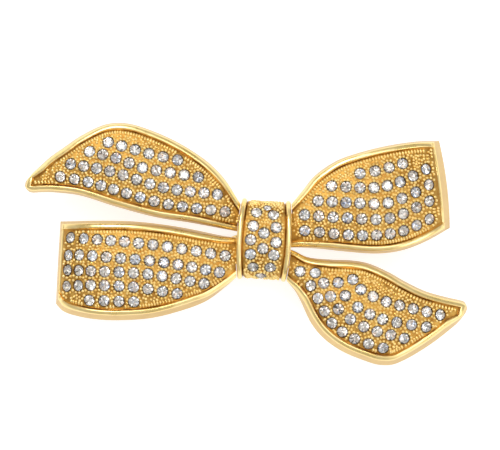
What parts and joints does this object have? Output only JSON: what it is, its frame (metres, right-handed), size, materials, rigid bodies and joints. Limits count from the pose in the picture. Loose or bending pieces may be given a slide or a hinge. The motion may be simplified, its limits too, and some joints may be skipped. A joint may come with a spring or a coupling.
{
  "type": "hair clip",
  "caption": "Ribbon bow hair clip: cast loops, tails and knot band pave-set with round stones, on a snap clasp with hinged arm, tension bar and squeeze catch.",
  "frame": {"origin": "on the clasp arm's flat outer face, under the middle of the knot", "axes": "+X to the bow's right, +Y to its top edge, +Z out of its decorated face; the clasp runs 21 degrees counter-clockwise from +X"},
  "size_m": [0.0844, 0.0461, 0.0157],
  "materials": {
    "gold_casting": "polished gold plate with a granulated field",
    "rhinestone": "clear faceted, foil backed",
    "clasp_strip": "gold-plated spring steel strip",
    "clasp_pin": "polished plated pin"
  },
  "bodies": {
    "bow": {"tail_upper_left": "gold_casting", "loop_lower_left": "gold_casting", "loop_upper_right": "gold_casting", "tail_lower_right": "gold_casting", "knot_band": "gold_casting", "tail_upper_left_stones_1": "rhinestone", "tail_upper_left_stones_2": "rhinestone", "tail_upper_left_stones_3": "rhinestone", "tail_upper_left_stones_4": "rhinestone", "loop_lower_left_stones_1": "rhinestone", "loop_lower_left_stones_2": "rhinestone", "loop_lower_left_stones_3": "rhinestone", "loop_lower_left_stones_4": "rhinestone", "loop_lower_left_stones_5": "rhinestone", "loop_upper_right_stones_1": "rhinestone", "loop_upper_right_stones_2": "rhinestone", "loop_upper_right_stones_3": "rhinestone", "loop_upper_right_stones_4": "rhinestone", "loop_upper_right_stones_5": "rhinestone", "tail_lower_right_stones_1": "rhinestone", "tail_lower_right_stones_2": "rhinestone", "tail_lower_right_stones_3": "rhinestone", "tail_lower_right_stones_4": "rhinestone", "knot_stones_1": "rhinestone", "knot_stones_2": "rhinestone", "knot_stones_3": "rhinestone", "knot_small_stone": "rhinestone", "base_plate": "clasp_strip", "hinge_pin": "clasp_pin", "tension_bar_pin": "clasp_pin", "catch_pin": "clasp_pin", "rivet_left": "clasp_pin", "rivet_right": "clasp_pin"},
    "arm": {"clasp_arm": "clasp_strip"},
    "tension_bar": {"tension_bar": "clasp_strip"},
    "prong_upper": {"catch_prong_upper": "clasp_strip"},
    "prong_lower": {"catch_prong_lower": "clasp_strip"}
  },
  "joints": [
    {"name": "arm_hinge", "type": "hinge", "parent": "bow", "child": "arm", "pos_m": [-0.02722, -0.01002, 0.00135], "axis": [-0.3584, 0.9336, 0], "range_deg": [0, 95]},
    {"name": "tension_bar_hinge", "type": "hinge", "parent": "bow", "child": "tension_bar", "pos_m": [-0.02302, -0.00841, 0.0075], "axis": [-0.3584, 0.9336, 0], "range_deg": [-0.5, 4], "stiffness_Nm_per_rad": 0.05},
    {"name": "prong_upper_squeeze", "type": "hinge", "parent": "bow", "child": "prong_upper", "pos_m": [0.026, 0.01041, 0.0076], "axis": [-0.9336, -0.3584, 0], "range_deg": [0, 6], "stiffness_Nm_per_rad": 0.005},
    {"name": "prong_lower_squeeze", "type": "hinge", "parent": "bow", "child": "prong_lower", "pos_m": [0.026, 0.01041, 0.0076], "axis": [0.9336, 0.3584, 0], "range_deg": [0, 6], "stiffness_Nm_per_rad": 0.005}
  ]
}
